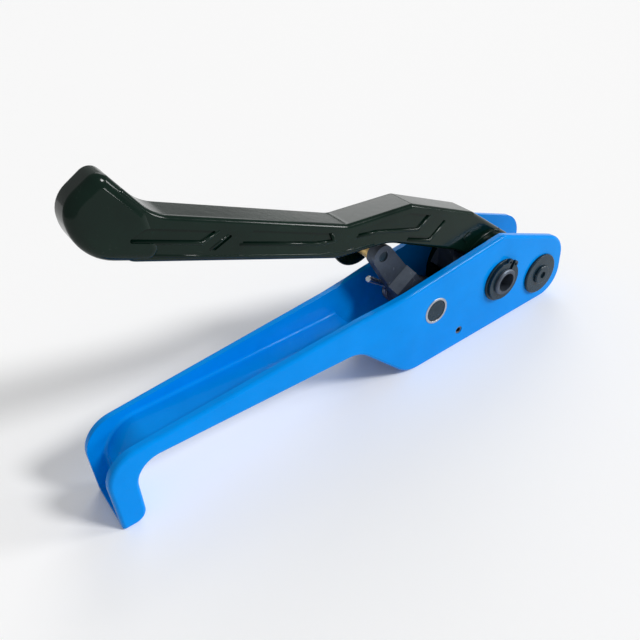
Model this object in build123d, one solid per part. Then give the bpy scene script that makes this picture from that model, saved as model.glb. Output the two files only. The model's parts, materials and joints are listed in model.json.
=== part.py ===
"""Windlass strapping tensioner: a pressed channel body, a slotted windlass with two ratchet
wheels, a cranked lever with its drive pawl, and a sprung holding pawl with a thumb release.

Millimetres. +X points at the nose of the tool, +Y to its far side and +Z up. The origin is in
the middle of the tool's length and width, on the surface that the tool rests on.
"""

import os
from math import atan2, cos, hypot, radians, sin

from build123d import *

# ---------------------------------------------------------------- body
OVERALL_LENGTH = 300.8  # hook to nose
HEAD_WIDTH = 40.0  # over the side plates
SHEET = 4.5  # pressed steel
HANDLE_WIDTH_AT_HOOK = 31.6
HANDLE_WIDTH_AT_HEAD = 36.0
JOG_START_FROM_NOSE = 158.0  # where the plates start to spread
JOG_LENGTH = 30.0
BASE_LENGTH = 128.7  # flat underside of the head
BASE_RAMP = 31.2  # run of the slope behind the base
UNDERSIDE_AT_HEAD = 31.0
UNDERSIDE_AT_HOOK = 34.8
RIM_AT_HEAD = 52.1
RIM_AT_HOOK = 42.3
RIM_CORNER_FROM_NOSE = 140.4
PEAK_HEIGHT = 60.8
PEAK_FROM_NOSE = 56.2
NOSE_HEIGHT = 37.4
HOOK_FOOT_LENGTH = 12.8
HOOK_NECK_LENGTH = 13.8
WEB_END_FROM_NOSE = 152.0
NECK_RADIUS = 13.0  # inside the crook of the hook
TOE_RADIUS = 6.5
JOG_RADIUS = 120.0
FOLD_RADIUS = 2.0  # both sides of the folds, and along the outer rims

# ---------------------------------------------------------------- windlass
WINDLASS_FROM_NOSE = 56.4
WINDLASS_HEIGHT = 31.5
DRUM_DIAMETER = 20.0
JOURNAL_DIAMETER = 16.0
JOURNAL_STAND_OUT = 4.5  # beyond the side plates
JOURNAL_BORE = 11.5
JOURNAL_BORE_DEPTH = 9.0
STRAP_SLOT_WIDTH = 15.0
STRAP_SLOT_GAP = 3.2
BUSH_DIAMETER = 20.0
THRUST_WASHER_DIAMETER = 26.5
THRUST_WASHER = 1.2
CIRCLIP = 1.5
CIRCLIP_RIM = 4.5
CIRCLIP_GROOVE = 0.7
CIRCLIP_OPENING_ANGLE = 57.0
KEY_SIZE = 4.0

# ---------------------------------------------------------------- ratchet
TEETH = 12
WHEEL_RADIUS = 20.0
TOOTH_DEPTH = 3.4
WHEEL_THICKNESS = 3.6
TOOTH_LAND = 4.0  # degrees
PAWL_NOSE_LENGTH = 7.0
DRIVE_CONTACT = 165.0  # degrees round from +X towards +Z
DRIVE_SLACK = 4.0  # degrees the wheel turns before the tooth meets the pawl
DRIVE_LIFT = 8.0  # degrees from the bottom of a tooth space to riding on the tips
HOLDING_CONTACT = 225.0
HOLDING_SLACK = 5.5

# ---------------------------------------------------------------- lever
ARM_WIDTH = 19.0
ARM_WALL = 3.3
EYE_RADIUS = 25.6
EYE_THICKNESS = 3.0
LEVER_BUSH_DIAMETER = 24.0
YOKE_START = 76.0  # degrees
YOKE_END = 118.0
ARM_REACH = 222.0  # windlass to the end of the grip, along X
GRIP_WIDTH = 21.0
GRIP_ROUND = 5.0
ARM_ROUND = 2.4
PANEL_DEPTH = 0.9
DRIVE_PIVOT_RADIUS = 37.0
DRIVE_PIVOT_ANGLE = 121.0
DRIVE_PIN_DIAMETER = 6.0

# ---------------------------------------------------------------- holding pawl
PAWL_PIN_DIAMETER = 13.0
PAWL_PIN_FROM_NOSE = 108.0
PAWL_PIN_HEIGHT = 34.4
PAWL_BUSH_DIAMETER = 15.8
PAWL_HUB_RADIUS = 9.5
RELEASE_ARM_LENGTH = 41.0
RELEASE_ARM_ANGLE = 121.0
RELEASE_ARM_THICKNESS = 6.0
RELEASE_ARM_LOW = -1.0  # its near face
RELEASE_STEP = 22.0  # length of the thicker root of the arm
RELEASE_STEP_RISE = 5.0
SPIGOT_RADIUS = 8.2
RELEASE_BOSS_RADIUS = 6.5
RELEASE_SCREW_DIAMETER = 6.0
SPACER_DIAMETER = 10.0
BRASS_WASHER_DIAMETER = 12.4
BRASS_WASHER = 1.0
THUMB_DISC_RADIUS = 15.0
THUMB_DISC = 3.4
STOP_PIN_DIAMETER = 3.8
STOP_PIN_REACH = 32.0
STOP_PIN_ANGLE = 143.0
SPRING_WIRE = 1.3
SPRING_TURNS = 3

# ---------------------------------------------------------------- front roller and roll pin
ROLLER_FROM_NOSE = 20.9
ROLLER_HEIGHT = 19.85
ROLLER_DIAMETER = 13.0
ROLLER_AXLE_DIAMETER = 9.0
CAP_WASHER_DIAMETER = 26.0
CAP_WASHER = 1.6
CAP_SCREW_DIAMETER = 6.0
CAP_HEAD_DIAMETER = 12.0
CAP_SOCKET = 4.0
ROLL_PIN_DIAMETER = 5.0
ROLL_PIN_WALL = 1.0
ROLL_PIN_FROM_NOSE = 88.9
ROLL_PIN_HEIGHT = 10.8

# ---------------------------------------------------------------- clearances
RUNNING = 0.05  # radial, shafts and pins that turn
SIDE_PLAY = 0.3  # between faces that slide past each other
TOOTH_PLAY = 0.35
GAP = 0.5

# ---------------------------------------------------------------- places worked out from the above
NOSE_X = OVERALL_LENGTH / 2
HOOK_X = -OVERALL_LENGTH / 2
HALF_HEAD = HEAD_WIDTH / 2
HALF_INSIDE = HALF_HEAD - SHEET
HALF_OVERALL = HALF_HEAD + JOURNAL_STAND_OUT
WINDLASS = (NOSE_X - WINDLASS_FROM_NOSE, WINDLASS_HEIGHT)
ROLLER = (NOSE_X - ROLLER_FROM_NOSE, ROLLER_HEIGHT)
PAWL_PIN = (NOSE_X - PAWL_PIN_FROM_NOSE, PAWL_PIN_HEIGHT)
ROLL_PIN = (NOSE_X - ROLL_PIN_FROM_NOSE, ROLL_PIN_HEIGHT)
WEB_END = NOSE_X - WEB_END_FROM_NOSE
EYE_OUTER = HALF_INSIDE - GAP
EYE_INNER = EYE_OUTER - EYE_THICKNESS
WHEEL_OUTER = EYE_INNER - SIDE_PLAY
WHEEL_INNER = WHEEL_OUTER - WHEEL_THICKNESS
ROOT_RADIUS = WHEEL_RADIUS - TOOTH_DEPTH
PITCH = 360 / TEETH
SPACE = 200.0  # larger than anything that is cut away


def about(centre, radius, angle):
    """The side-view point at a radius and angle (degrees) round a centre."""
    return (
        centre[0] + radius * cos(radians(angle)),
        centre[1] + radius * sin(radians(angle)),
    )


DRIVE_PIVOT = about(WINDLASS, DRIVE_PIVOT_RADIUS, DRIVE_PIVOT_ANGLE)
RELEASE_BOSS = about(PAWL_PIN, RELEASE_ARM_LENGTH, RELEASE_ARM_ANGLE)
STOP_PIN_Y = RELEASE_ARM_LOW + RELEASE_ARM_THICKNESS + STOP_PIN_DIAMETER / 2 + 0.2
SPRING_LOW = STOP_PIN_Y + STOP_PIN_DIAMETER / 2 + 0.4


def rounded(corners, radii):
    """A closed outline whose corners have their own radii, sharp where a radius is zero."""
    outline = Polyline(*corners, close=True)
    for corner, radius in zip(corners, radii):
        if radius:
            vertex = outline.vertices().sort_by_distance(Vector(*corner))[0]
            outline = outline.fillet_2d(radius, [vertex])
    return outline


def side_face(corners, radii):
    """A face in the side view (X, Z) with rounded corners."""
    return Plane.XZ * make_face(rounded(corners, radii))


def slab(face, low, high):
    """A side-view face made solid between two places across the tool."""
    thick = extrude(face, amount=high - low, dir=(0, 1, 0))
    return Pos(0, low, 0) * thick


def rod(centre, radius, low, high):
    """A round bar across the tool."""
    bar = Cylinder(radius, high - low, rotation=(90, 0, 0))
    return Pos(centre[0], (low + high) / 2, centre[1]) * bar


def tube(centre, outer, inner, low, high):
    """A round sleeve across the tool."""
    return rod(centre, outer, low, high) - rod(centre, inner, low - 1, high + 1)


def both_sides(solid):
    """A solid and its twin on the other side of the tool."""
    return Compound(children=[*solid.solids(), *mirror(solid, about=Plane.XZ).solids()])


def save(shape, node):
    """Write one sub-part."""
    export_step(shape, f"parts/{node}.step")


# ---------------------------------------------------------------- channel body
def body_outline():
    """Side view of the body, from the foot round to the rim."""
    corners = [
        (HOOK_X, 0),
        (HOOK_X + HOOK_FOOT_LENGTH, 0),
        (HOOK_X + HOOK_NECK_LENGTH, UNDERSIDE_AT_HOOK),
        (NOSE_X - BASE_LENGTH - BASE_RAMP, UNDERSIDE_AT_HEAD),
        (NOSE_X - BASE_LENGTH, 0),
        (NOSE_X, 0),
        (NOSE_X, NOSE_HEIGHT),
        (NOSE_X - PEAK_FROM_NOSE, PEAK_HEIGHT),
        (NOSE_X - RIM_CORNER_FROM_NOSE, RIM_AT_HEAD),
        (HOOK_X, RIM_AT_HOOK),
    ]
    radii = [1.0, TOE_RADIUS, NECK_RADIUS, 19.0, 20.0, 16.0, 18.0, 6.0, 60.0, 17.0]
    return side_face(corners, radii)


def hollow_outline():
    """Side view of the space over the web and the hook's sole, open behind, above and at the head."""
    far_x = NOSE_X + SPACE
    back_x = HOOK_X - SPACE
    corners = [
        (HOOK_X + HOOK_FOOT_LENGTH - SHEET, SHEET),
        (HOOK_X + HOOK_NECK_LENGTH - SHEET, UNDERSIDE_AT_HOOK + SHEET),
        (WEB_END, UNDERSIDE_AT_HEAD + SHEET),
        (WEB_END, -SPACE),
        (far_x, -SPACE),
        (far_x, SPACE),
        (back_x, SPACE),
        (back_x, SHEET),
    ]
    return side_face(corners, [TOE_RADIUS / 2, NECK_RADIUS + SHEET, 0, 0, 0, 0, 0, 0])


def plan_slab(inset):
    """The body's plan, its half width drawn in by inset, tall enough to cut anything."""
    jog_x = NOSE_X - JOG_START_FROM_NOSE
    edge = [
        (HOOK_X - 5, HANDLE_WIDTH_AT_HOOK / 2 - inset),
        (jog_x, HANDLE_WIDTH_AT_HEAD / 2 - inset),
        (jog_x + JOG_LENGTH, HALF_HEAD - inset),
        (NOSE_X + 5, HALF_HEAD - inset),
    ]
    outline = [*edge, *[(x, -y) for x, y in reversed(edge)]]
    face = make_face(rounded(outline, [0, JOG_RADIUS, JOG_RADIUS, 0, 0, JOG_RADIUS, JOG_RADIUS, 0]))
    return Pos(0, 0, -SPACE / 2) * extrude(face, amount=SPACE * 1.5, dir=(0, 0, 1))


def plate_bores():
    """Bores through both side plates."""
    reach = HALF_HEAD + 1
    bores = rod(WINDLASS, BUSH_DIAMETER / 2, -reach, reach)
    bores += rod(PAWL_PIN, PAWL_BUSH_DIAMETER / 2, -reach, reach)
    bores += rod(ROLL_PIN, ROLL_PIN_DIAMETER / 2, -reach, reach)
    bores += rod(ROLLER, CAP_SCREW_DIAMETER / 2, -reach, reach)
    return bores


def make_body():
    """The one-piece pressed channel: hook, handle and the two head plates."""
    outer = slab(body_outline(), -HALF_HEAD, HALF_HEAD) & plan_slab(0)
    hollow = slab(hollow_outline(), -HALF_HEAD, HALF_HEAD) & plan_slab(SHEET)
    flank = HANDLE_WIDTH_AT_HOOK / 3
    web_top = UNDERSIDE_AT_HOOK + SHEET + 1.5
    rims = [e for e in outer.edges() if abs(e.center().Y) > flank]
    inner_folds = [
        e
        for e in hollow.edges()
        if abs(e.center().Y) > flank and HOOK_X - 1 < e.center().X < WEB_END and e.center().Z < web_top
    ]
    return fillet(rims, FOLD_RADIUS) - fillet(inner_folds, FOLD_RADIUS) - plate_bores()


# ---------------------------------------------------------------- windlass
def key_place(radius, side):
    """Middle of a key at the top of the drum, on one side of the tool."""
    middle = side * (WHEEL_INNER + WHEEL_OUTER) / 2
    return Pos(WINDLASS[0], middle, WINDLASS[1] + radius)


def make_keys(size):
    """The two square keys between drum and wheels, or the space they need."""
    keys = [
        key_place(DRUM_DIAMETER / 2, side) * Box(size, WHEEL_THICKNESS, size) for side in (-1, 1)
    ]
    return Compound(children=keys)


def circlip_span():
    """How far out the circlip's two faces lie."""
    inner = HALF_HEAD + THRUST_WASHER + 0.05
    return inner, inner + CIRCLIP


def make_shaft():
    """The windlass: a drum with a strap slot, between two hollow journals."""
    shoulder = HALF_INSIDE - SIDE_PLAY
    shaft = rod(WINDLASS, DRUM_DIAMETER / 2, -shoulder, shoulder)
    journal = rod(WINDLASS, JOURNAL_DIAMETER / 2, shoulder, HALF_OVERALL)
    rim = journal.edges().group_by(Axis.Y)[-1]
    shaft += both_sides(chamfer(rim, 0.7))
    bore = rod(WINDLASS, JOURNAL_BORE / 2, HALF_OVERALL - JOURNAL_BORE_DEPTH, HALF_OVERALL + 1)
    low, high = circlip_span()
    groove = tube(
        WINDLASS, JOURNAL_DIAMETER / 2 + 1, JOURNAL_DIAMETER / 2 - CIRCLIP_GROOVE, low, high
    )
    slot = Box(DRUM_DIAMETER + 2, STRAP_SLOT_WIDTH, STRAP_SLOT_GAP)
    slot = fillet(slot.edges().filter_by(Axis.X), STRAP_SLOT_GAP * 0.45)
    slot = Pos(WINDLASS[0], 0, WINDLASS[1]) * slot
    return shaft - both_sides(bore) - both_sides(groove) - slot - make_keys(KEY_SIZE)


def make_plate_bushes():
    """The two flat bushes pressed into the side plates, which carry the journals."""
    bush = tube(
        WINDLASS, BUSH_DIAMETER / 2, JOURNAL_DIAMETER / 2 + RUNNING, HALF_INSIDE, HALF_HEAD
    )
    return both_sides(bush)


def make_thrust_washers():
    """Washers between the side plates and the circlips."""
    washer = tube(
        WINDLASS,
        THRUST_WASHER_DIAMETER / 2,
        JOURNAL_DIAMETER / 2 + RUNNING,
        HALF_HEAD,
        HALF_HEAD + THRUST_WASHER,
    )
    washer = chamfer(washer.edges().group_by(Axis.Y)[-1].sort_by(Edge.length)[-1], 0.4)
    return both_sides(washer)


def make_circlips():
    """Open spring rings with two drilled lugs, one on each journal."""
    low, high = circlip_span()
    inside = JOURNAL_DIAMETER / 2 - CIRCLIP_GROOVE
    outside = inside + CIRCLIP_RIM
    clip = tube(WINDLASS, outside, inside, low, high)
    for side in (-1, 1):
        lug = about(WINDLASS, outside, CIRCLIP_OPENING_ANGLE + side * 13)
        clip += rod(lug, 2.2, low, high)
    clip -= rod(WINDLASS, inside, low, high)
    for side in (-1, 1):
        lug = about(WINDLASS, outside, CIRCLIP_OPENING_ANGLE + side * 13)
        clip -= rod(lug, 0.8, low, high)
    mouth = about(WINDLASS, outside, CIRCLIP_OPENING_ANGLE)
    cut = Pos(mouth[0], (low + high) / 2, mouth[1]) * Rot(0, -CIRCLIP_OPENING_ANGLE, 0)
    return both_sides(clip - cut * Box(4 * CIRCLIP_RIM, CIRCLIP * 2, 2.6))


# ---------------------------------------------------------------- ratchet wheels and pawl noses
def make_wheel(side):
    """A saw-toothed wheel whose steep faces stand at the contact angles."""
    corners = []
    for tooth in range(TEETH):
        face = DRIVE_CONTACT + tooth * PITCH
        corners.append(about(WINDLASS, ROOT_RADIUS, face))
        corners.append(about(WINDLASS, WHEEL_RADIUS, face))
        corners.append(about(WINDLASS, WHEEL_RADIUS, face + TOOTH_LAND))
    blank = slab(side_face(corners, [0] * len(corners)), WHEEL_INNER, WHEEL_OUTER)
    wheel = blank - rod(WINDLASS, DRUM_DIAMETER / 2, 0, HALF_HEAD)
    wheel -= make_keys(KEY_SIZE)
    return wheel if side > 0 else mirror(wheel, about=Plane.XZ)


def nose_corners(contact):
    """The wedge of a pawl that lies in the tooth space before a contact angle."""
    tip = about(WINDLASS, ROOT_RADIUS + TOOTH_PLAY, contact)
    outer = about(WINDLASS, ROOT_RADIUS + PAWL_NOSE_LENGTH, contact)
    inner = about(WINDLASS, ROOT_RADIUS + 2.3, contact - 12)
    return tip, outer, inner


def pawl_body(pivot, eye, contact):
    """Side view of a pawl from its eye to its nose."""
    tip, outer, inner = nose_corners(contact)
    along = atan2(outer[1] - pivot[1], outer[0] - pivot[0])
    left = (pivot[0] - eye * sin(along), pivot[1] + eye * cos(along))
    right = (pivot[0] + eye * sin(along), pivot[1] - eye * cos(along))
    return side_face([tip, outer, right, left, inner], [0, 1.0, 0, 0, 0])


# ---------------------------------------------------------------- lever
def from_windlass(points):
    """Side-view points that are given from the windlass's centre."""
    return [(WINDLASS[0] + x, WINDLASS[1] + z) for x, z in points]


def make_arm():
    """The cranked arm, as wide as it is between the side plates."""
    reach = ARM_REACH
    corners = [
        (16, 20),
        (-14.3, 45.2),
        (-60.1, 67.5),
        (-101, 71.8),
        (29.2 - reach, 112.8),
        (18 - reach, 130),
        (10 - reach, 116),
        (14 - reach, 97.7),
        (-108, 55.9),
        (-76, 51.5),
        (-28, 26.5),
        (-10, 12),
        (10, 12),
    ]
    radii = [0, 8, 5, 14, 22, 3, 8, 8, 22, 40, 4, 0, 0]
    arm = slab(side_face(from_windlass(corners), radii), -ARM_WIDTH / 2, ARM_WIDTH / 2)
    arm -= rod(WINDLASS, WHEEL_RADIUS + 1.1, -ARM_WIDTH, ARM_WIDTH)
    rims = [e for e in arm.edges() if abs(abs(e.center().Y) - ARM_WIDTH / 2) < 0.01]
    far_rims = [e for e in rims if hypot(e.center().X - WINDLASS[0], e.center().Z - WINDLASS[1]) > 24]
    return fillet(far_rims, ARM_ROUND)


def grip_bulge():
    """The thicker, rounded end that the hand pushes on."""
    reach = ARM_REACH
    corners = [
        (27.5 - reach, 115.4),
        (14.1 - reach, 136),
        (-3 - reach, 126.9),
        (-3 - reach, 105),
        (30 - reach, 91),
    ]
    radii = [GRIP_ROUND + 0.5, GRIP_ROUND + 0.6, 12, 21, GRIP_ROUND + 0.5]
    half = GRIP_WIDTH / 2
    bulge = slab(side_face(from_windlass(corners), radii), -half, half)
    rims = [e for e in bulge.edges() if abs(abs(e.center().Y) - half) < 0.01]
    return fillet(rims, GRIP_ROUND)


def lever_eyes():
    """Two round cheeks on the windlass, joined by the yoke that the arm grows from."""
    eye = rod(WINDLASS, EYE_RADIUS, EYE_INNER, EYE_OUTER)
    eye -= rod(WINDLASS, LEVER_BUSH_DIAMETER / 2, 0, HALF_HEAD)
    sweep_points = [WINDLASS]
    for angle in (YOKE_START, (YOKE_START + YOKE_END) / 2, YOKE_END):
        sweep_points.append(about(WINDLASS, EYE_RADIUS * 1.3, angle))
    wedge = slab(side_face(sweep_points, [0, 0, 0, 0]), -EYE_OUTER, EYE_OUTER)
    ring = tube(WINDLASS, EYE_RADIUS, WHEEL_RADIUS + 1.1, -EYE_OUTER, EYE_OUTER)
    return both_sides(eye) + (ring & wedge)


def lever_pocket():
    """The hollow under the arm that holds the drive pawl and clears the release boss."""
    half = ARM_WIDTH / 2 - ARM_WALL
    corners = [(-88, 30), (-88, 56), (-62, 61.5), (-20, 40.5), (-11.8, 34), (-11.8, 8), (-60, 8)]
    return slab(side_face(from_windlass(corners), [0, 6, 8, 6, 4, 0, 0]), -half, half)


def nose_relief():
    """Clearance in the arm for the wide nose of the drive pawl, behind the yoke."""
    around = [WINDLASS]
    for angle in (YOKE_END + 2, 150, 190):
        around.append(about(WINDLASS, EYE_RADIUS * 2, angle))
    wedge = slab(side_face(around, [0, 0, 0, 0]), -HALF_HEAD, HALF_HEAD)
    return wedge & rod(WINDLASS, EYE_RADIUS + 0.8, -HALF_HEAD, HALF_HEAD)


def side_panels():
    """Shallow recesses in the arm's flanks: three panels and two slanting grooves."""
    reach = ARM_REACH
    grip_panel = [(15 - reach, 106.7), (46.1 - reach, 93.4), (54.7 - reach, 95.7), (24 - reach, 109.3)]
    grip_groove = [(48.9 - reach, 89.2), (51 - reach, 87.9), (60.6 - reach, 91.3), (58.4 - reach, 92.4)]
    long_panel = [(62.8 - reach, 85.9), (-119.7, 69.4), (-109.7, 66.6), (-111.3, 71.8), (70.5 - reach, 89.6)]
    head_panel = [(-96.5, 63.6), (-84.1, 61.2), (-56.5, 51.6), (-48, 56.8), (-61.5, 63.2), (-94.5, 66.9)]
    head_groove = [(-64, 48.6), (-48.1, 41.5), (-36.8, 49), (-38.4, 50.3), (-48.3, 43.9), (-63.2, 50.5)]
    floor = ARM_WIDTH / 2 - PANEL_DEPTH
    cuts = None
    for corners, radius in (
        (grip_panel, 1.0),
        (grip_groove, 0.6),
        (long_panel, 1.0),
        (head_panel, 1.0),
        (head_groove, 0.5),
    ):
        cut = slab(side_face(from_windlass(corners), [radius] * len(corners)), floor, HALF_HEAD)
        cuts = cut if cuts is None else cuts + cut
    return both_sides(cuts)


def make_lever():
    """The black cranked lever with its two eyes."""
    lever = make_arm() + grip_bulge() - side_panels() - nose_relief()
    lever = lever + lever_eyes() - lever_pocket()
    return lever - rod(DRIVE_PIVOT, DRIVE_PIN_DIAMETER / 2, -HALF_HEAD, HALF_HEAD)


def make_lever_bushes():
    """Bushes pressed into the lever's eyes, which turn on the drum."""
    bush = tube(
        WINDLASS, LEVER_BUSH_DIAMETER / 2, DRUM_DIAMETER / 2 + RUNNING, EYE_INNER, EYE_OUTER
    )
    return both_sides(bush)


def make_drive_pin():
    """The pin across the arm that carries the drive pawl."""
    half = ARM_WIDTH / 2 + 0.4
    pin = rod(DRIVE_PIVOT, DRIVE_PIN_DIAMETER / 2, -half, half)
    ends = [e for e in pin.edges() if abs(abs(e.center().Y) - half) < 0.01]
    return chamfer(ends, 0.4)


def make_drive_pawl():
    """The pawl in the lever, riding on the tooth tips: slim, with a nose as wide as both wheels."""
    eye = 6.2
    half = ARM_WIDTH / 2 - ARM_WALL - SIDE_PLAY
    face = pawl_body(DRIVE_PIVOT, eye, DRIVE_CONTACT - DRIVE_SLACK)
    body = slab(face, -half, half) + rod(DRIVE_PIVOT, eye, -half, half)
    wide = slab(face, -WHEEL_OUTER, WHEEL_OUTER) & rod(
        WINDLASS, ROOT_RADIUS + PAWL_NOSE_LENGTH, -HALF_HEAD, HALF_HEAD
    )
    pawl = body + wide - rod(DRIVE_PIVOT, DRIVE_PIN_DIAMETER / 2 + RUNNING, -half - 1, half + 1)
    hinge = Axis((DRIVE_PIVOT[0], 0, DRIVE_PIVOT[1]), (0, 1, 0))
    return pawl.rotate(hinge, DRIVE_LIFT)


def coil(centre, radius, wire, low, turns):
    """A close spring coil round a pin across the tool."""
    rise = wire * 1.12
    path = Helix(pitch=rise, height=rise * turns, radius=radius)
    start = path @ 0
    ring = Plane(origin=start, z_dir=path % 0) * Circle(wire / 2)
    turned = sweep(ring, path=path)
    return Pos(centre[0], low + wire / 2, centre[1]) * Rot(-90, 0, 0) * turned


# ---------------------------------------------------------------- holding pawl
def release_point(along, across):
    """A side-view point on the release arm: along it from the pivot, and across it."""
    angle = radians(RELEASE_ARM_ANGLE)
    return (
        PAWL_PIN[0] + along * cos(angle) + across * sin(angle),
        PAWL_PIN[1] + along * sin(angle) - across * cos(angle),
    )


def make_holding_pawl():
    """Holding pawl: hub, wide nose under the wheels, and the arm up to the thumb release."""
    half_hub = HALF_INSIDE - SIDE_PLAY
    hub = rod(PAWL_PIN, PAWL_HUB_RADIUS, -half_hub, SPRING_LOW)
    hub += rod(PAWL_PIN, SPIGOT_RADIUS, SPRING_LOW, half_hub)
    face = pawl_body(PAWL_PIN, PAWL_HUB_RADIUS, HOLDING_CONTACT - HOLDING_SLACK)
    nose = slab(face, -WHEEL_OUTER, WHEEL_OUTER)
    nose -= rod(PAWL_PIN, PAWL_HUB_RADIUS + 1.5, SPRING_LOW, HALF_HEAD)
    low = RELEASE_ARM_LOW
    high = low + RELEASE_ARM_THICKNESS
    arm_corners = [
        release_point(-2, -8.5),
        release_point(RELEASE_ARM_LENGTH, -RELEASE_BOSS_RADIUS),
        release_point(RELEASE_ARM_LENGTH, RELEASE_BOSS_RADIUS),
        release_point(-2, 8.5),
    ]
    arm_face = side_face(arm_corners, [0, 0, 0, 0])
    arm = slab(arm_face, low, high) + rod(RELEASE_BOSS, RELEASE_BOSS_RADIUS, low, high)
    root_face = side_face(
        [
            release_point(0, -8.2),
            release_point(RELEASE_STEP, -7.8),
            release_point(RELEASE_STEP, 7.8),
            release_point(0, 8.2),
        ],
        [0, 0, 0, 0],
    )
    root = slab(root_face, low - RELEASE_STEP_RISE, low)
    step_rim = [e for e in root.edges() if abs(e.center().Y - low + RELEASE_STEP_RISE) < 0.01]
    root = chamfer(max(step_rim, key=lambda e: e.center().Z), RELEASE_STEP_RISE * 0.96)
    pawl = hub + nose + arm + root
    pawl -= rod(PAWL_PIN, PAWL_PIN_DIAMETER / 2 + RUNNING, -HALF_HEAD, HALF_HEAD)
    pawl -= rod(RELEASE_BOSS, RELEASE_SCREW_DIAMETER / 2, low - 1, high + 1)
    return pawl - stop_pin_solid()


def stop_pin_solid():
    """The radial pin in the hub that the torsion spring pushes on."""
    length = STOP_PIN_REACH - PAWL_PIN_DIAMETER / 2 - 1.0
    middle = about(PAWL_PIN, STOP_PIN_REACH - length / 2, STOP_PIN_ANGLE)
    pin = Cylinder(STOP_PIN_DIAMETER / 2, length)
    return Pos(middle[0], STOP_PIN_Y, middle[1]) * Rot(0, 90 - STOP_PIN_ANGLE, 0) * pin


def make_stop_pin():
    """The stop pin, with softened ends."""
    pin = stop_pin_solid()
    return chamfer(pin.edges().filter_by(GeomType.CIRCLE), 0.4)


def make_release_screw():
    """The screw through the arm, its spacer and the thumb disc."""
    low = RELEASE_ARM_LOW + 0.8
    return rod(RELEASE_BOSS, RELEASE_SCREW_DIAMETER / 2, low, HALF_OVERALL - 1.0)


def make_brass_washer():
    """Brass washer behind the release arm."""
    low = RELEASE_ARM_LOW + RELEASE_ARM_THICKNESS
    return tube(
        RELEASE_BOSS, BRASS_WASHER_DIAMETER / 2, RELEASE_SCREW_DIAMETER / 2, low, low + BRASS_WASHER
    )


def make_spacer():
    """Brass spacer that carries the thumb disc out past the far side plate."""
    low = RELEASE_ARM_LOW + RELEASE_ARM_THICKNESS + BRASS_WASHER
    return tube(
        RELEASE_BOSS,
        SPACER_DIAMETER / 2,
        RELEASE_SCREW_DIAMETER / 2,
        low,
        HALF_OVERALL - THUMB_DISC,
    )


def make_thumb_disc():
    """The round pad outside the far plate that the thumb pushes."""
    low = HALF_OVERALL - THUMB_DISC
    disc = tube(
        RELEASE_BOSS, THUMB_DISC_RADIUS, RELEASE_SCREW_DIAMETER / 2, low, HALF_OVERALL
    )
    rims = [e for e in disc.edges().filter_by(GeomType.CIRCLE) if e.radius > THUMB_DISC_RADIUS - 1]
    return fillet(rims, 1.2)


def make_pawl_pin():
    """The plain pin across the head that the holding pawl turns on."""
    pin = rod(PAWL_PIN, PAWL_PIN_DIAMETER / 2, -HALF_HEAD, HALF_HEAD)
    return chamfer(pin.edges().filter_by(GeomType.CIRCLE), 0.4)


def make_pawl_bushes():
    """Bright rings pressed into the side plates round the pawl pin."""
    ring = tube(
        PAWL_PIN, PAWL_BUSH_DIAMETER / 2, PAWL_PIN_DIAMETER / 2, HALF_INSIDE, HALF_HEAD + 0.3
    )
    return both_sides(ring)


def make_pawl_spring():
    """The torsion spring on the pawl's spigot."""
    return coil(PAWL_PIN, SPIGOT_RADIUS + SPRING_WIRE / 2 + 0.15, SPRING_WIRE, SPRING_LOW, SPRING_TURNS)


# ---------------------------------------------------------------- nose of the tool
def make_roller_axle():
    """Axle between the side plates, tapped at both ends."""
    half = HALF_INSIDE
    axle = rod(ROLLER, ROLLER_AXLE_DIAMETER / 2, -half, half)
    return axle - rod(ROLLER, CAP_SCREW_DIAMETER / 2, -half - 1, half + 1)


def make_roller():
    """The guide roller that the strap runs under."""
    half = HALF_INSIDE - SIDE_PLAY
    roller = tube(ROLLER, ROLLER_DIAMETER / 2, ROLLER_AXLE_DIAMETER / 2 + RUNNING, -half, half)
    waist = [e for e in roller.edges().filter_by(GeomType.CIRCLE) if e.radius > 5.5]
    return chamfer(waist, 0.6)


def make_cap_washers():
    """Wide black washers under the nose screws."""
    washer = tube(
        ROLLER,
        CAP_WASHER_DIAMETER / 2,
        CAP_SCREW_DIAMETER / 2,
        HALF_HEAD,
        HALF_HEAD + CAP_WASHER,
    )
    rims = [e for e in washer.edges().filter_by(GeomType.CIRCLE) if e.radius > 12.5]
    return both_sides(chamfer([e for e in rims if e.center().Y > HALF_HEAD + 0.1], 0.5))


def make_cap_screws():
    """Low-head socket screws that clamp the nose."""
    head_top = HALF_HEAD + CAP_WASHER + 1.6
    screw = rod(ROLLER, CAP_SCREW_DIAMETER / 2, 3.0, HALF_HEAD + CAP_WASHER)
    head = rod(ROLLER, CAP_HEAD_DIAMETER / 2, HALF_HEAD + CAP_WASHER, head_top)
    head = chamfer(head.edges().group_by(Axis.Y)[-1], 0.6)
    socket = extrude(
        Plane(origin=(ROLLER[0], head_top, ROLLER[1]), z_dir=(0, 1, 0))
        * RegularPolygon(CAP_SOCKET / 2, 6, major_radius=False),
        amount=-1.3,
    )
    return both_sides(screw + head - socket)


def make_roll_pin():
    """The slotted spring pin across the head, under the pawl."""
    pin = tube(
        ROLL_PIN,
        ROLL_PIN_DIAMETER / 2,
        ROLL_PIN_DIAMETER / 2 - ROLL_PIN_WALL,
        -HALF_HEAD + 0.3,
        HALF_HEAD - 0.3,
    )
    slit = Pos(ROLL_PIN[0] - ROLL_PIN_DIAMETER / 2, 0, ROLL_PIN[1]) * Box(3, HEAD_WIDTH, 0.7)
    return pin - slit


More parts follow.
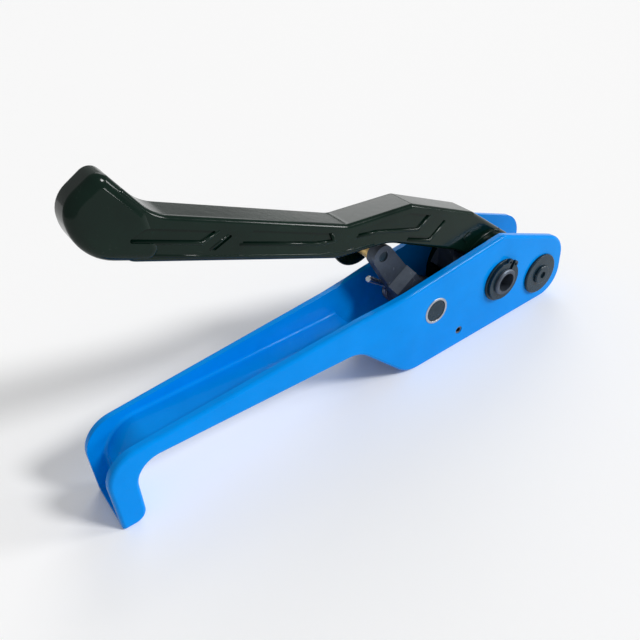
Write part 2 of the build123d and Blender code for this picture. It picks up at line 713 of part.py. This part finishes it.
NODES = {
    "channel_body": make_body,
    "windlass_shaft": make_shaft,
    "wheel_keys": lambda: make_keys(KEY_SIZE),
    "near_ratchet_wheel": lambda: make_wheel(-1),
    "far_ratchet_wheel": lambda: make_wheel(1),
    "windlass_bushes": make_plate_bushes,
    "thrust_washers": make_thrust_washers,
    "circlips": make_circlips,
    "lever": make_lever,
    "lever_bushes": make_lever_bushes,
    "drive_pawl_pin": make_drive_pin,
    "drive_pawl": make_drive_pawl,
    "holding_pawl": make_holding_pawl,
    "stop_pin": make_stop_pin,
    "release_screw": make_release_screw,
    "brass_washer": make_brass_washer,
    "release_spacer": make_spacer,
    "thumb_disc": make_thumb_disc,
    "pawl_pin": make_pawl_pin,
    "pawl_pin_rings": make_pawl_bushes,
    "pawl_spring": make_pawl_spring,
    "roller_axle": make_roller_axle,
    "guide_roller": make_roller,
    "nose_washers": make_cap_washers,
    "nose_screws": make_cap_screws,
    "roll_pin": make_roll_pin,
}

os.makedirs("parts", exist_ok=True)
for node, make in NODES.items():
    save(make(), node)
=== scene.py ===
"""Finished look of a windlass strapping tensioner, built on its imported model.

Metres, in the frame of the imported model: +X points at the nose of the tool, +Y to its far side
and +Z up. Each sub-assembly is a class that copies, softens and dresses its own pieces.
"""

import json
import logging
from dataclasses import dataclass, field
from enum import Enum
from math import cos, radians, sin
from typing import Callable

import bmesh
import bpy
from mathutils import Matrix, Vector

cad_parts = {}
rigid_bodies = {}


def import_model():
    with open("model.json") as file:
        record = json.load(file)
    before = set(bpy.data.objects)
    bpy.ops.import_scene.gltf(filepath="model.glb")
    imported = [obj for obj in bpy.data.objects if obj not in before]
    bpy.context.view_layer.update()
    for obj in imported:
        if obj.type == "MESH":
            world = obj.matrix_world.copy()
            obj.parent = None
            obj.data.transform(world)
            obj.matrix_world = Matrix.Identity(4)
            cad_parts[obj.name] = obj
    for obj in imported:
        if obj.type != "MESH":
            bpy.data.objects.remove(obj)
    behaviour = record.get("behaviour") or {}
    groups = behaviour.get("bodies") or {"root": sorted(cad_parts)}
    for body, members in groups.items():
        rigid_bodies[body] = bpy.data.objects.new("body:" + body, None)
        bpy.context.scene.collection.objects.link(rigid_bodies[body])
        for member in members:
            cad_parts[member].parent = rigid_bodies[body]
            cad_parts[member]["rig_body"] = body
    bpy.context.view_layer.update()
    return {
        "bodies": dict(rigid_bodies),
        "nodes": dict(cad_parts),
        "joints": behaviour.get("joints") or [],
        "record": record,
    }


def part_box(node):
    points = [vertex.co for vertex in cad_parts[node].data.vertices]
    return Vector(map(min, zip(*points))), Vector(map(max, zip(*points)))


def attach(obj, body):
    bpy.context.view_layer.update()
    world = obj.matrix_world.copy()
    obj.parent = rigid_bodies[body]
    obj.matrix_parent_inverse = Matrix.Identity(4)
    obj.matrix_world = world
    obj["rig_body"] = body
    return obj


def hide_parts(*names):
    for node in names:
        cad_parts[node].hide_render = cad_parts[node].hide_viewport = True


LOG = logging.getLogger("tensioner")
MM = 0.001
SHARP = radians(32)  # folds in a mesh that get a bevel
FLAT = radians(0.6)  # folds below this join into one face
WELD = 0.002 * MM  # corners nearer than this are one corner
BEVEL_STEPS = 3

Triple = tuple[float, float, float]
Point = tuple[float, float]


# ------------------------------------------------------------------ shader groups
class Effect(Enum):
    """Shared surface effects, each one shader node group."""

    PEEL = "orange_peel"
    MOTTLE = "mottle"
    GRAIN = "metal_grain"
    SCUFF = "scuffs"


class Socket(Enum):
    """What a group's socket carries."""

    VALUE = "NodeSocketFloat"
    VECTOR = "NodeSocketVector"
    COLOUR = "NodeSocketColor"


@dataclass(frozen=True)
class Noise:
    """How fine and how rough a noise is, and its share of the group's Scale."""

    detail: float
    roughness: float
    share: float = 1.0


PAINT_WAVES = Noise(1.0, 0.4)
PAINT_DUST = Noise(3.0, 0.7, 5.0)
DUST_AMOUNT = 0.2
CLOUDS = Noise(4.0, 0.6)
CLOUD_EDGES = (0.35, 0.68)  # where the first colour ends and where the second is full
CUTTER_MARKS = Noise(5.0, 0.65)
SCRATCH_BENDS = Noise(2.0, 0.5, 0.3)
SCRATCH_BEND_SIZE = 0.03
SCRATCH_SCALE = 150.0
SCRATCH_GAPS = Noise(3.0, 0.6, 1.7)
SCRATCH_GAP_LEVEL = 0.62  # scratches show only where the gaps' noise is above this
BUMP_STRENGTH = 0.6

# Places of a Mix node's sockets: its inputs, then its results.
MIX_FACTOR, MIX_FIRST_VALUE, MIX_SECOND_VALUE = 0, 2, 3
MIX_FIRST_COLOUR, MIX_SECOND_COLOUR = 6, 7
MIX_VALUE_RESULT, MIX_COLOUR_RESULT = 0, 2


def new_group(
    effect: Effect, inputs: dict[str, Socket], outputs: dict[str, Socket], values: dict[str, float]
) -> tuple[bpy.types.NodeTree, bpy.types.Node, bpy.types.Node]:
    """Start an empty shader node group with named sockets.

    Args:
        effect: The effect that the group makes.
        inputs: What each input carries, by its name.
        outputs: What each output carries, by its name.
        values: Values of the inputs that materials leave as they are.

    Returns:
        The group, its input node and its output node.
    """
    group = bpy.data.node_groups.new(effect.value, "ShaderNodeTree")
    for label, kind in inputs.items():
        socket = group.interface.new_socket(label, in_out="INPUT", socket_type=kind.value)
        if label in values:
            socket.default_value = values[label]
    for label, kind in outputs.items():
        group.interface.new_socket(label, in_out="OUTPUT", socket_type=kind.value)
    return group, group.nodes.new("NodeGroupInput"), group.nodes.new("NodeGroupOutput")


def scaled_noise(group: bpy.types.NodeTree, start: bpy.types.Node, kind: Noise) -> bpy.types.Node:
    """Add a noise texture whose scale comes from the group's Scale input.

    Args:
        group: The node group.
        start: Its input node.
        kind: The noise's values.

    Returns:
        The noise node.
    """
    scale = group.nodes.new("ShaderNodeMath")
    scale.operation = "MULTIPLY"
    scale.inputs[1].default_value = kind.share
    noise = group.nodes.new("ShaderNodeTexNoise")
    noise.inputs["Detail"].default_value = kind.detail
    noise.inputs["Roughness"].default_value = kind.roughness
    group.links.new(start.outputs["Scale"], scale.inputs[0])
    group.links.new(scale.outputs[0], noise.inputs["Scale"])
    group.links.new(start.outputs["Vector"], noise.inputs["Vector"])
    return noise


def build_peel() -> bpy.types.NodeTree:
    """Make low waves of sprayed paint under a fine dust, as a height.

    Returns:
        The group.
    """
    group, start, end = new_group(
        Effect.PEEL,
        {"Vector": Socket.VECTOR, "Scale": Socket.VALUE, "Dust": Socket.VALUE},
        {"Height": Socket.VALUE},
        {"Dust": DUST_AMOUNT},
    )
    waves = scaled_noise(group, start, PAINT_WAVES)
    dust = scaled_noise(group, start, PAINT_DUST)
    mix = group.nodes.new("ShaderNodeMix")
    group.links.new(start.outputs["Dust"], mix.inputs[MIX_FACTOR])
    group.links.new(waves.outputs["Fac"], mix.inputs[MIX_FIRST_VALUE])
    group.links.new(dust.outputs["Fac"], mix.inputs[MIX_SECOND_VALUE])
    group.links.new(mix.outputs[MIX_VALUE_RESULT], end.inputs["Height"])
    return group


def build_mottle() -> bpy.types.NodeTree:
    """Make two near colours in soft clouds, with the clouds' mask.

    Returns:
        The group.
    """
    group, start, end = new_group(
        Effect.MOTTLE,
        {"Vector": Socket.VECTOR, "Scale": Socket.VALUE, "First": Socket.COLOUR, "Second": Socket.COLOUR},
        {"Color": Socket.COLOUR, "Mask": Socket.VALUE},
        {},
    )
    noise = scaled_noise(group, start, CLOUDS)
    ramp = group.nodes.new("ShaderNodeMapRange")
    ramp.inputs["From Min"].default_value, ramp.inputs["From Max"].default_value = CLOUD_EDGES
    mix = group.nodes.new("ShaderNodeMix")
    mix.data_type = "RGBA"
    group.links.new(noise.outputs["Fac"], ramp.inputs["Value"])
    group.links.new(ramp.outputs["Result"], mix.inputs[MIX_FACTOR])
    group.links.new(start.outputs["First"], mix.inputs[MIX_FIRST_COLOUR])
    group.links.new(start.outputs["Second"], mix.inputs[MIX_SECOND_COLOUR])
    group.links.new(mix.outputs[MIX_COLOUR_RESULT], end.inputs["Color"])
    group.links.new(ramp.outputs["Result"], end.inputs["Mask"])
    return group


def build_grain() -> bpy.types.NodeTree:
    """Make cutter marks drawn out along a metal piece, as a height.

    Returns:
        The group.
    """
    group, start, end = new_group(
        Effect.GRAIN,
        {"Vector": Socket.VECTOR, "Scale": Socket.VALUE, "Stretch": Socket.VECTOR},
        {"Height": Socket.VALUE},
        {},
    )
    stretch = group.nodes.new("ShaderNodeVectorMath")
    stretch.operation = "MULTIPLY"
    noise = group.nodes.new("ShaderNodeTexNoise")
    noise.inputs["Detail"].default_value = CUTTER_MARKS.detail
    noise.inputs["Roughness"].default_value = CUTTER_MARKS.roughness
    group.links.new(start.outputs["Vector"], stretch.inputs[0])
    group.links.new(start.outputs["Stretch"], stretch.inputs[1])
    group.links.new(stretch.outputs[0], noise.inputs["Vector"])
    group.links.new(start.outputs["Scale"], noise.inputs["Scale"])
    group.links.new(noise.outputs["Fac"], end.inputs["Height"])
    return group


def build_scuffs() -> bpy.types.NodeTree:
    """Make sparse short scratches, as a mask.

    Returns:
        The group.
    """
    group, start, end = new_group(
        Effect.SCUFF,
        {"Vector": Socket.VECTOR, "Scale": Socket.VALUE, "Amount": Socket.VALUE},
        {"Mask": Socket.VALUE},
        {"Scale": SCRATCH_SCALE},
    )
    bend = scaled_noise(group, start, SCRATCH_BENDS)
    add = group.nodes.new("ShaderNodeVectorMath")
    add.operation = "MULTIPLY_ADD"
    add.inputs[1].default_value = (SCRATCH_BEND_SIZE,) * 3
    cells = group.nodes.new("ShaderNodeTexVoronoi")
    cells.feature = "DISTANCE_TO_EDGE"
    gaps = scaled_noise(group, start, SCRATCH_GAPS)
    thin = group.nodes.new("ShaderNodeMath")
    thin.operation = "LESS_THAN"
    keep = group.nodes.new("ShaderNodeMath")
    keep.operation = "GREATER_THAN"
    keep.inputs[1].default_value = SCRATCH_GAP_LEVEL
    both = group.nodes.new("ShaderNodeMath")
    both.operation = "MULTIPLY"
    group.links.new(bend.outputs["Color"], add.inputs[0])
    group.links.new(start.outputs["Vector"], add.inputs[2])
    group.links.new(add.outputs[0], cells.inputs["Vector"])
    group.links.new(start.outputs["Scale"], cells.inputs["Scale"])
    group.links.new(cells.outputs["Distance"], thin.inputs[0])
    group.links.new(start.outputs["Amount"], thin.inputs[1])
    group.links.new(gaps.outputs["Fac"], keep.inputs[0])
    group.links.new(thin.outputs[0], both.inputs[0])
    group.links.new(keep.outputs[0], both.inputs[1])
    group.links.new(both.outputs[0], end.inputs["Mask"])
    return group


BUILDERS: dict[Effect, Callable[[], bpy.types.NodeTree]] = {
    Effect.PEEL: build_peel,
    Effect.MOTTLE: build_mottle,
    Effect.GRAIN: build_grain,
    Effect.SCUFF: build_scuffs,
}


# ------------------------------------------------------------------ finishes
@dataclass(frozen=True)
class Finish:
    """A surface finish: two near colours in clouds, a gloss and a fine relief.

    The roughness is that of the first and of the second colour. The relief's depth is in
    millimetres, and its stretch is only for metal grain.
    """

    slot: str
    first: Triple
    second: Triple
    roughness: tuple[float, float]
    metallic: float = 0.0
    specular: float = 0.5
    clouds: float = 35.0
    relief: Effect = Effect.PEEL
    relief_scale: float = 500.0
    relief_depth: float = 0.02
    stretch: Triple = (1.0, 0.1, 1.0)
    scuffs: float = 0.0
    scuff_colour: Triple = (0.5, 0.5, 0.5)

    def material(self) -> bpy.types.Material:
        """Build the finish's material.

        Returns:
            A node material that reads Object coordinates.
        """
        made = bpy.data.materials.new(self.slot)
        made.use_nodes = True
        tree = made.node_tree
        shader = tree.nodes["Principled BSDF"]
        shader.inputs["Metallic"].default_value = self.metallic
        shader.inputs["Specular IOR Level"].default_value = self.specular
        place = tree.nodes.new("ShaderNodeTexCoord")
        clouds = self.effect(tree, Effect.MOTTLE, place)
        clouds.inputs["Scale"].default_value = self.clouds
        clouds.inputs["First"].default_value = (*self.first, 1)
        clouds.inputs["Second"].default_value = (*self.second, 1)
        colour = clouds.outputs["Color"]
        if self.scuffs:
            colour = self.scuffed(tree, place, colour)
        tree.links.new(colour, shader.inputs["Base Color"])
        rough = tree.nodes.new("ShaderNodeMapRange")
        rough.inputs["To Min"].default_value, rough.inputs["To Max"].default_value = self.roughness
        tree.links.new(clouds.outputs["Mask"], rough.inputs["Value"])
        tree.links.new(rough.outputs["Result"], shader.inputs["Roughness"])
        relief = self.effect(tree, self.relief, place)
        relief.inputs["Scale"].default_value = self.relief_scale
        if self.relief is Effect.GRAIN:
            relief.inputs["Stretch"].default_value = self.stretch
        bump = tree.nodes.new("ShaderNodeBump")
        bump.inputs["Strength"].default_value = BUMP_STRENGTH
        bump.inputs["Distance"].default_value = self.relief_depth * MM
        tree.links.new(relief.outputs["Height"], bump.inputs["Height"])
        tree.links.new(bump.outputs["Normal"], shader.inputs["Normal"])
        return made

    def effect(self, tree: bpy.types.NodeTree, which: Effect, place: bpy.types.Node) -> bpy.types.Node:
        """Place a shared group in the material, fed with Object coordinates.

        Args:
            tree: The material's node tree.
            which: The effect.
            place: The texture coordinate node.

        Returns:
            The group node.
        """
        node = tree.nodes.new("ShaderNodeGroup")
        node.node_tree = bpy.data.node_groups.get(which.value) or BUILDERS[which]()
        tree.links.new(place.outputs["Object"], node.inputs["Vector"])
        return node

    def scuffed(
        self, tree: bpy.types.NodeTree, place: bpy.types.Node, colour: bpy.types.NodeSocket
    ) -> bpy.types.NodeSocket:
        """Mix scratches over a colour.

        Args:
            tree: The material's node tree.
            place: The texture coordinate node.
            colour: The colour socket underneath.

        Returns:
            The mixed colour socket.
        """
        marks = self.effect(tree, Effect.SCUFF, place)
        marks.inputs["Amount"].default_value = self.scuffs
        mix = tree.nodes.new("ShaderNodeMix")
        mix.data_type = "RGBA"
        mix.inputs[MIX_SECOND_COLOUR].default_value = (*self.scuff_colour, 1)
        tree.links.new(marks.outputs["Mask"], mix.inputs[MIX_FACTOR])
        tree.links.new(colour, mix.inputs[MIX_FIRST_COLOUR])
        return mix.outputs[MIX_COLOUR_RESULT]


BLUE_PAINT = Finish(
    slot="blue_paint",
    first=(0.0, 0.258, 0.79),
    second=(0.0, 0.232, 0.72),
    roughness=(0.08, 0.13),
    specular=0.07,
    relief_scale=420.0,
    relief_depth=0.05,
    scuffs=0.006,
    scuff_colour=(0.0, 0.2, 0.62),
)
# The near-black is the paint's own colour; the green tint in its first and second colours is a painted
# reflection of green surroundings.
BLACK_PAINT = Finish(
    slot="black_gloss_paint",
    first=(0.002, 0.009, 0.006),
    second=(0.003, 0.014, 0.009),
    roughness=(0.12, 0.18),
    specular=0.18,
    relief_scale=260.0,
    relief_depth=0.09,
    scuffs=0.006,
    scuff_colour=(0.012, 0.022, 0.018),
)
# The dark grey is the steel's own colour; the bluish tint in its first and second colours is a painted
# reflection of the blue paint.
DARK_STEEL = Finish(
    slot="dark_steel",
    first=(0.085, 0.105, 0.135),
    second=(0.06, 0.075, 0.1),
    roughness=(0.4, 0.55),
    metallic=0.6,
    clouds=180.0,
    relief_scale=1600.0,
    relief_depth=0.12,
    scuffs=0.02,
    scuff_colour=(0.2, 0.23, 0.27),
)
BLACK_OXIDE = Finish(
    slot="black_oxide",
    first=(0.009, 0.028, 0.044),
    second=(0.006, 0.02, 0.032),
    roughness=(0.22, 0.32),
    specular=0.27,
    scuffs=0.015,
    scuff_colour=(0.05, 0.07, 0.09),
    clouds=120.0,
    relief=Effect.GRAIN,
    relief_scale=900.0,
)
BRIGHT_STEEL = Finish(
    slot="bright_steel",
    first=(0.55, 0.56, 0.58),
    second=(0.42, 0.43, 0.45),
    roughness=(0.25, 0.4),
    metallic=1.0,
    clouds=200.0,
    relief=Effect.GRAIN,
    relief_scale=1500.0,
)
ZINC = Finish(
    slot="zinc",
    first=(0.72, 0.76, 0.8),
    second=(0.6, 0.64, 0.68),
    roughness=(0.18, 0.3),
    metallic=1.0,
    clouds=250.0,
    relief_scale=1500.0,
)
SPRING_STEEL = Finish(
    slot="spring_steel",
    first=(0.22, 0.23, 0.25),
    second=(0.12, 0.13, 0.15),
    roughness=(0.25, 0.4),
    metallic=0.9,
    clouds=250.0,
    relief_scale=1500.0,
)
BRONZE = Finish(
    slot="bronze",
    first=(0.5, 0.32, 0.14),
    second=(0.4, 0.25, 0.11),
    roughness=(0.4, 0.55),
    metallic=1.0,
    clouds=200.0,
    relief_scale=1500.0,
)
BRASS = Finish(
    slot="brass",
    first=(0.66, 0.47, 0.2),
    second=(0.5, 0.34, 0.13),
    roughness=(0.25, 0.4),
    metallic=1.0,
    clouds=200.0,
    relief=Effect.GRAIN,
    relief_scale=1200.0,
)
FINISHES = (
    BLUE_PAINT, BLACK_PAINT, DARK_STEEL, BLACK_OXIDE, BRIGHT_STEEL, ZINC, SPRING_STEEL, BRONZE, BRASS,
)


# ------------------------------------------------------------------ pieces
@dataclass(frozen=True)
class Dressing:
    """What a CAD node gets: a finish, and the width in millimetres that its edges are rounded by.

    With no rounding, the node keeps its CAD mesh.
    """

    node: str
    finish: Finish
    rounding: float = 0.0


def merged_copy(node: str) -> bmesh.types.BMesh:
    """Copy a CAD node's mesh as one closed shell with flat faces joined up.

    Args:
        node: The node's name.

    Returns:
        A new bmesh, which the caller frees.
    """
    shell = bmesh.new()
    shell.from_mesh(bpy.data.objects[node].data)
    bmesh.ops.remove_doubles(shell, verts=shell.verts, dist=WELD)
    bmesh.ops.dissolve_limit(
        shell, angle_limit=FLAT, verts=shell.verts, edges=shell.edges, delimit={"NORMAL"}
    )
    return shell


@dataclass
class Assembly:
    """A group of pieces that are finished together."""

    frame: dict[str, dict]
    materials: dict[str, bpy.types.Material]
    made: list[bpy.types.Object] = field(default_factory=list)
    dressings: tuple[Dressing, ...] = ()

    def piece(self, name: str, shell: bmesh.types.BMesh, finish: Finish, body: str) -> bpy.types.Object:
        """Turn a bmesh into a shown piece that rides on a body.

        Args:
            name: The piece's name.
            shell: The mesh, which is freed.
            finish: Its finish.
            body: The body that it rides on.

        Returns:
            The new object.
        """
        mesh = bpy.data.meshes.new(name)
        for face in shell.faces:
            face.smooth = True
        shell.to_mesh(mesh)
        shell.free()
        made = bpy.data.objects.new(name, mesh)
        bpy.context.scene.collection.objects.link(made)
        made.data.materials.append(self.materials[finish.slot])
        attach(made, body)
        self.made.append(made)
        return made

    def soften(self, made: bpy.types.Object, width: float) -> None:
        """Round a piece's edges.

        Args:
            made: The piece.
            width: The bevel's width in millimetres.
        """
        bevel = made.modifiers.new("soft_edges", "BEVEL")
        bevel.width = width * MM
        bevel.segments = BEVEL_STEPS
        bevel.limit_method = "ANGLE"
        bevel.angle_limit = SHARP
        bevel.harden_normals = True
        bevel.loop_slide = False
        normals = made.modifiers.new("even_shading", "WEIGHTED_NORMAL")
        normals.keep_sharp = True

    def softened_node(self, dressing: Dressing) -> None:
        """Stand a softened copy in for a CAD node.

        Args:
            dressing: The node, its finish and its rounding.
        """
        node = dressing.node
        body = self.frame["nodes"][node]["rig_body"]
        made = self.piece(f"{node}_finished", merged_copy(node), dressing.finish, body)
        self.soften(made, dressing.rounding)
        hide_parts(node)

    def dress_node(self, dressing: Dressing) -> None:
        """Give a CAD node that keeps its shape a better material.

        Args:
            dressing: The node and its finish.
        """
        target = self.frame["nodes"][dressing.node]
        finish = dressing.finish
        target.data.materials.clear()
        target.data.materials.append(self.materials[finish.slot])

    def build(self) -> None:
        """Soften and dress the assembly's CAD nodes in order."""
        for dressing in self.dressings:
            if dressing.rounding:
                self.softened_node(dressing)
            else:
                self.dress_node(dressing)


@dataclass
class ChannelBody(Assembly):
    """The pressed blue channel: hook, handle and head plates."""

    dressings: tuple[Dressing, ...] = (Dressing("channel_body", BLUE_PAINT, 0.5),)


@dataclass
class HeadFittings(Assembly):
    """Fixed pins, rings, washers, bushes and screws of the head."""

    dressings: tuple[Dressing, ...] = (
        Dressing("nose_washers", BLACK_OXIDE, 0.35),
        Dressing("nose_screws", BLACK_OXIDE, 0.25),
        Dressing("pawl_pin", BLACK_OXIDE, 0.3),
        Dressing("pawl_pin_rings", BRIGHT_STEEL, 0.25),
        Dressing("roll_pin", SPRING_STEEL, 0.2),
        Dressing("thrust_washers", BLACK_OXIDE, 0.25),
        Dressing("roller_axle", BRIGHT_STEEL),
        Dressing("windlass_bushes", BRONZE),
    )


@dataclass
class Windlass(Assembly):
    """The slotted drum with its wheels, keys and circlips, and the guide roller at the nose."""

    dressings: tuple[Dressing, ...] = (
        Dressing("windlass_shaft", DARK_STEEL, 0.4),
        Dressing("circlips", BLACK_OXIDE, 0.2),
        Dressing("near_ratchet_wheel", DARK_STEEL, 0.25),
        Dressing("far_ratchet_wheel", DARK_STEEL, 0.25),
        Dressing("wheel_keys", BRIGHT_STEEL),
        Dressing("guide_roller", BRIGHT_STEEL, 0.3),
    )


@dataclass
class Lever(Assembly):
    """The black cranked lever with its cast beads, pin, bushes and drive pawl.

    The beads are lines of points in millimetres from the windlass's centre, along X and Z.
    """

    body: str = "lever_body"
    arm_rounding: float = 0.4
    flank: float = 9.0 * MM
    bead_size: float = 0.85 * MM
    bead_sides: int = 16
    grip_flank: float = 10.4 * MM  # only faces further out than this are cut into a grid
    grip_root: Point = (-104.0 * MM, 138.0 * MM)  # where the grip starts to narrow, along X and Z
    grip_axis: Point = (-0.6, 0.8)
    grip_length: float = 29.0 * MM
    grip_overrun: float = 0.25  # share of its length that the grip reaches in front of its root
    grip_narrowing: float = 0.3
    grip_grid: float = 2.0 * MM
    grip_cut: float = 0.01 * MM  # corners nearer than this to a cut lie on it
    eye_bead_radius: float = 27.3
    eye_bead_angles: tuple[float, ...] = (75, 82, 89, 96, 103, 110, 117, 124, 131)
    beads: tuple[tuple[str, tuple[Point, ...]], ...] = (
        ("grip_panel_lip", ((-205.0, 105.8), (-175.9, 93.4), (-167.3, 95.7))),
        ("grip_groove_lip", ((-173.1, 89.2), (-163.6, 92.4))),
        ("long_panel_lip", ((-159.2, 85.9), (-119.7, 69.4), (-109.7, 66.6), (-111.3, 71.8))),
        ("head_panel_lip", ((-96.5, 63.6), (-84.1, 61.2), (-56.5, 51.6), (-48.0, 56.8))),
        ("head_groove_lip", ((-64.0, 48.6), (-48.1, 41.5), (-36.8, 49.0))),
        (
            "lower_flange",
            (
                (-208.8, 101.9), (-173.8, 86.2), (-137.8, 71.1),
                (-118.8, 63.2), (-104.3, 58.9), (-86.0, 55.6),
            ),
        ),
    )
    dressings: tuple[Dressing, ...] = (
        Dressing("lever_bushes", BRONZE),
        Dressing("drive_pawl_pin", BLACK_PAINT, 0.3),
        Dressing("drive_pawl", DARK_STEEL, 0.4),
    )

    def bead(self, name: str, points: tuple[Point, ...], side: int) -> None:
        """Lay a cast bead along one flank of the arm.

        Args:
            name: The piece's name.
            points: Its line, in millimetres from the windlass's centre.
            side: -1 for the near flank, 1 for the far one.
        """
        low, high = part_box("windlass_shaft")
        centre = (low + high) / 2
        line = [Vector((centre.x + x * MM, side * self.flank, centre.z + z * MM)) for x, z in points]
        ways = [(stop - start).normalized() for start, stop in zip(line, line[1:])]
        shell = bmesh.new()
        rings = []
        for point, before, after in zip(line, [ways[0], *ways], [*ways, ways[-1]]):
            along = (before + after).normalized()
            across = Vector((-along.z, 0, along.x)) / along.dot(after)  # longer on a mitred corner
            turned = Matrix((across, Vector((0, 1, 0)), along)).transposed().to_4x4()
            ring = bmesh.ops.create_circle(
                shell,
                cap_ends=point is line[0] or point is line[-1],
                segments=self.bead_sides,
                radius=self.bead_size,
                matrix=Matrix.Translation(point) @ turned,
            )
            rings.append({edge for vert in ring["verts"] for edge in vert.link_edges})
        for first, second in zip(rings, rings[1:]):
            bmesh.ops.bridge_loops(shell, edges=[*first, *second])
        bmesh.ops.recalc_face_normals(shell, faces=shell.faces)
        self.piece(name, shell, BLACK_PAINT, self.body)

    def narrow_grip(self, shell: bmesh.types.BMesh) -> None:
        """Round the grip's flanks over, so that it narrows towards its tip.

        Args:
            shell: The lever's mesh, which is changed in place.
        """
        root_x, root_z = self.grip_root
        for axis, start in ((Vector((1, 0, 0)), root_x), (Vector((0, 0, 1)), root_z)):
            step = -self.grip_grid if axis.x else self.grip_grid
            for index in range(int(self.grip_length / self.grip_grid)):
                flanks = [f for f in shell.faces if abs(f.calc_center_median().y) > self.grip_flank]
                touched = {v for f in flanks for v in f.verts} | {e for f in flanks for e in f.edges}
                bmesh.ops.bisect_plane(
                    shell,
                    geom=[*touched, *flanks],
                    plane_co=axis * (start + index * step),
                    plane_no=axis,
                    dist=self.grip_cut,
                )
        reach = root_x + self.grip_length * self.grip_overrun
        for vert in shell.verts:
            along = (vert.co.x - root_x) * self.grip_axis[0] + (vert.co.z - root_z) * self.grip_axis[1]
            if vert.co.x < reach and along > 0:
                vert.co.y *= 1 - self.grip_narrowing * (along / self.grip_length) ** 2

    def build(self) -> None:
        """Make the arm and its beads, then soften and dress the other pieces."""
        shell = merged_copy("lever")
        self.narrow_grip(shell)
        arm = self.piece("lever_finished", shell, BLACK_PAINT, self.body)
        self.soften(arm, self.arm_rounding)
        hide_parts("lever")
        eye_line = tuple(
            (self.eye_bead_radius * cos(radians(turn)), self.eye_bead_radius * sin(radians(turn)))
            for turn in self.eye_bead_angles
        )
        for side, word in ((-1, "near"), (1, "far")):
            for name, points in (("eye_bead", eye_line), *self.beads):
                self.bead(f"{word}_{name}", points, side)
        super().build()


@dataclass
class HoldingPawl(Assembly):
    """The holding pawl with its spring and thumb release."""

    dressings: tuple[Dressing, ...] = (
        Dressing("holding_pawl", DARK_STEEL, 0.5),
        Dressing("stop_pin", ZINC, 0.3),
        Dressing("release_screw", BLACK_OXIDE, 0.3),
        Dressing("brass_washer", BRASS, 0.2),
        Dressing("release_spacer", BRASS, 0.3),
        Dressing("thumb_disc", BLACK_PAINT, 0.4),
        Dressing("pawl_spring", SPRING_STEEL),
    )


# ------------------------------------------------------------------ studio
@dataclass(frozen=True)
class Lamp:
    """A wide, even lamp that faces the tool from far off.

    It shines from the direction of its place. Its width is how wide it looks from the tool, in
    degrees, and its strength is in watts per square metre.
    """

    name: str
    place: Triple
    width: float
    strength: float

    def build(self) -> None:
        """Put the lamp in the scene."""
        light = bpy.data.lights.new(self.name, "SUN")
        light.angle = radians(self.width)
        light.energy = self.strength
        made = bpy.data.objects.new(self.name, light)
        made.location = self.place
        made.rotation_euler = Vector(self.place).to_track_quat("Z", "Y").to_euler()
        bpy.context.scene.collection.objects.link(made)


@dataclass
class Studio:
    """Pale floor, soft lamps and the camera, with its angles in degrees and its lens in millimetres."""

    camera_place: Triple = (-0.1778, -0.2317, 0.2651)
    azimuth: float = -31.26
    elevation: float = 36.14
    roll: float = -6.12
    lens: float = 38.39
    sensor: float = 36.0
    shift: tuple[float, float] = (0.044, -0.0252)
    nearest_seen: float = 0.01
    floor_size: float = 12.0
    floor_colour: Triple = (0.985, 0.985, 0.985)
    floor_roughness: float = 0.9
    floor_specular: float = 0.1
    world_colour: Triple = (1.0, 1.0, 1.0)
    world_strength: float = 0.4
    lamps: tuple[Lamp, ...] = (
        Lamp("key_lamp", (0.5, -0.6, 0.62), 12.0, 1.8),
        Lamp("side_lamp", (0.86, -0.42, 0.28), 15.0, 1.1),
        Lamp("far_lamp", (0.61, 0.65, 0.45), 34.0, 0.7),
    )

    def build(self) -> None:
        """Make floor, world, lamps and camera."""
        self.floor()
        self.world()
        for lamp in self.lamps:
            lamp.build()
        self.camera()
        bpy.context.scene.view_settings.view_transform = "Standard"

    def floor(self) -> None:
        """Lay a plain pale floor under the tool."""
        sheet = bmesh.new()
        bmesh.ops.create_grid(sheet, x_segments=1, y_segments=1, size=self.floor_size / 2)
        mesh = bpy.data.meshes.new("floor")
        sheet.to_mesh(mesh)
        sheet.free()
        made = bpy.data.objects.new("floor", mesh)
        bpy.context.scene.collection.objects.link(made)
        finish = bpy.data.materials.new("floor")
        finish.use_nodes = True
        shader = finish.node_tree.nodes["Principled BSDF"]
        shader.inputs["Base Color"].default_value = (*self.floor_colour, 1)
        shader.inputs["Roughness"].default_value = self.floor_roughness
        shader.inputs["Specular IOR Level"].default_value = self.floor_specular
        made.data.materials.append(finish)

    def world(self) -> None:
        """Light the tool evenly from all round."""
        world = bpy.data.worlds.new("studio")
        bpy.context.scene.world = world
        world.use_nodes = True
        sky = world.node_tree.nodes["Background"]
        sky.inputs["Color"].default_value = (*self.world_colour, 1)
        sky.inputs["Strength"].default_value = self.world_strength

    def camera(self) -> None:
        """Set the camera, looking down on the tool from its hook end and near side."""
        view = bpy.data.cameras.new("camera")
        view.lens = self.lens
        view.sensor_width = self.sensor
        view.shift_x, view.shift_y = self.shift
        view.clip_start = self.nearest_seen
        made = bpy.data.objects.new("camera", view)
        level = Matrix.Rotation(radians(self.azimuth), 4, "Z")
        tilt = Matrix.Rotation(radians(90 - self.elevation), 4, "X")
        turn = Matrix.Rotation(radians(self.roll), 4, "Z")
        made.matrix_world = Matrix.Translation(self.camera_place) @ level @ tilt @ turn
        bpy.context.scene.collection.objects.link(made)
        bpy.context.scene.camera = made


def main() -> None:
    """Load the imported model, build every sub-assembly and the studio."""
    logging.basicConfig(level=logging.INFO)
    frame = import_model()
    materials = {finish.slot: finish.material() for finish in FINISHES}
    for kind in (ChannelBody, HeadFittings, Windlass, Lever, HoldingPawl):
        assembly = kind(frame, materials)
        assembly.build()
        for made in assembly.made:
            LOG.info("%s: %s with %d faces", kind.__name__, made.name, len(made.data.polygons))
    Studio().build()


if __name__ == "__main__":
    main()
